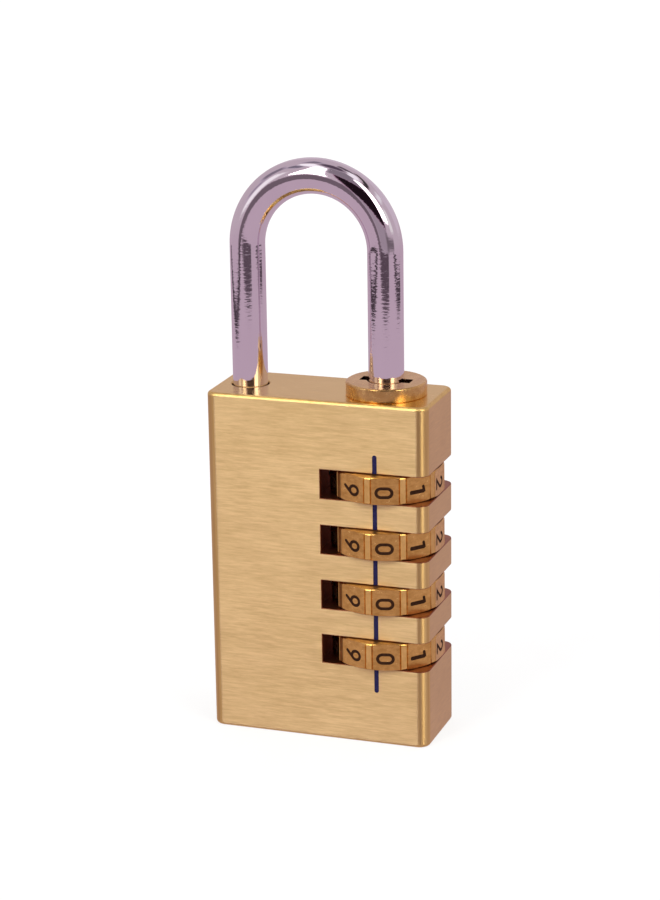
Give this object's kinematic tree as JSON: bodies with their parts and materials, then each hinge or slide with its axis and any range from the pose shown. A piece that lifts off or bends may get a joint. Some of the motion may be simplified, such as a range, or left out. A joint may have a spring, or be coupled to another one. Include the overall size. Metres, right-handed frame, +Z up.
{
  "type": "combination padlock",
  "caption": "Solid brass padlock with numbered dials sunk in slots beside a chromed round-bar shackle, and the full lock work inside.",
  "frame": {"origin": "centre of the body's underside, on the plane that the padlock stands on", "axes": "+Z up along the shackle's legs, -Y out of the front face with the index line, +X towards the side that the dial slots open to"},
  "size_m": [0.0401, 0.0198, 0.1016],
  "materials": {
    "body_brass": "finely brushed solid brass",
    "dial_brass": "satin brass with black engraved numerals",
    "collar_brass": "turned red-toned brass",
    "chrome": "mirror chrome on hardened steel",
    "steel": "machined steel",
    "spring_steel": "drawn spring wire"
  },
  "bodies": {
    "lock_body": {"body": "body_brass", "collar": "collar_brass", "bottom_plug": "body_brass", "detent_spring_1": "spring_steel", "detent_spring_2": "spring_steel", "detent_spring_3": "spring_steel", "detent_spring_4": "spring_steel", "return_spring": "spring_steel"},
    "shackle": {"shackle": "chrome", "retaining_clip": "steel"},
    "spring_seat": {"spring_seat": "steel"},
    "dial_1": {"dial_1": "dial_brass"},
    "dial_2": {"dial_2": "dial_brass"},
    "dial_3": {"dial_3": "dial_brass"},
    "dial_4": {"dial_4": "dial_brass"},
    "sleeve_1": {"clutch_sleeve_1": "steel"},
    "sleeve_2": {"clutch_sleeve_2": "steel"},
    "sleeve_3": {"clutch_sleeve_3": "steel"},
    "sleeve_4": {"clutch_sleeve_4": "steel"},
    "ball_1": {"detent_ball_1": "steel"},
    "ball_2": {"detent_ball_2": "steel"},
    "ball_3": {"detent_ball_3": "steel"},
    "ball_4": {"detent_ball_4": "steel"}
  },
  "joints": [
    {"name": "shackle_lift", "type": "slide", "parent": "lock_body", "child": "shackle", "axis": [0, 0, 1], "range_m": [0, 0.01]},
    {"name": "dial_1_turn", "type": "hinge", "parent": "lock_body", "child": "dial_1", "pos_m": [0.0104, 0, 0.0467], "axis": [0, 0, 1], "continuous": true},
    {"name": "dial_2_turn", "type": "hinge", "parent": "lock_body", "child": "dial_2", "pos_m": [0.0104, 0, 0.0367], "axis": [0, 0, 1], "continuous": true},
    {"name": "dial_3_turn", "type": "hinge", "parent": "lock_body", "child": "dial_3", "pos_m": [0.0104, 0, 0.0267], "axis": [0, 0, 1], "continuous": true},
    {"name": "dial_4_turn", "type": "hinge", "parent": "lock_body", "child": "dial_4", "pos_m": [0.0104, 0, 0.0167], "axis": [0, 0, 1], "continuous": true},
    {"name": "reset_press", "type": "slide", "parent": "lock_body", "child": "spring_seat", "axis": [0, 0, 1], "range_m": [-0.0014, 0], "stiffness_N_per_m": 900, "springref_m": 0.003, "deforming": ["return_spring"]},
    {"name": "sleeve_1_press", "type": "slide", "parent": "dial_1", "child": "sleeve_1", "axis": [0, 0, 1], "range_m": [-0.0014, 0]},
    {"name": "sleeve_2_press", "type": "slide", "parent": "dial_2", "child": "sleeve_2", "axis": [0, 0, 1], "range_m": [-0.0014, 0]},
    {"name": "sleeve_3_press", "type": "slide", "parent": "dial_3", "child": "sleeve_3", "axis": [0, 0, 1], "range_m": [-0.0014, 0]},
    {"name": "sleeve_4_press", "type": "slide", "parent": "dial_4", "child": "sleeve_4", "axis": [0, 0, 1], "range_m": [-0.0014, 0]},
    {"name": "detent_1_press", "type": "slide", "parent": "lock_body", "child": "ball_1", "axis": [-1, 0, 0], "range_m": [0, 0.0004], "stiffness_N_per_m": 300, "springref_m": -0.001, "deforming": ["detent_spring_1"]},
    {"name": "detent_2_press", "type": "slide", "parent": "lock_body", "child": "ball_2", "axis": [-1, 0, 0], "range_m": [0, 0.0004], "stiffness_N_per_m": 300, "springref_m": -0.001, "deforming": ["detent_spring_2"]},
    {"name": "detent_3_press", "type": "slide", "parent": "lock_body", "child": "ball_3", "axis": [-1, 0, 0], "range_m": [0, 0.0004], "stiffness_N_per_m": 300, "springref_m": -0.001, "deforming": ["detent_spring_3"]},
    {"name": "detent_4_press", "type": "slide", "parent": "lock_body", "child": "ball_4", "axis": [-1, 0, 0], "range_m": [0, 0.0004], "stiffness_N_per_m": 300, "springref_m": -0.001, "deforming": ["detent_spring_4"]}
  ],
  "couplings": [
    {"joint": "sleeve_1_press", "follows": "reset_press", "ratio": 1},
    {"joint": "sleeve_2_press", "follows": "reset_press", "ratio": 1},
    {"joint": "sleeve_3_press", "follows": "reset_press", "ratio": 1},
    {"joint": "sleeve_4_press", "follows": "reset_press", "ratio": 1}
  ]
}
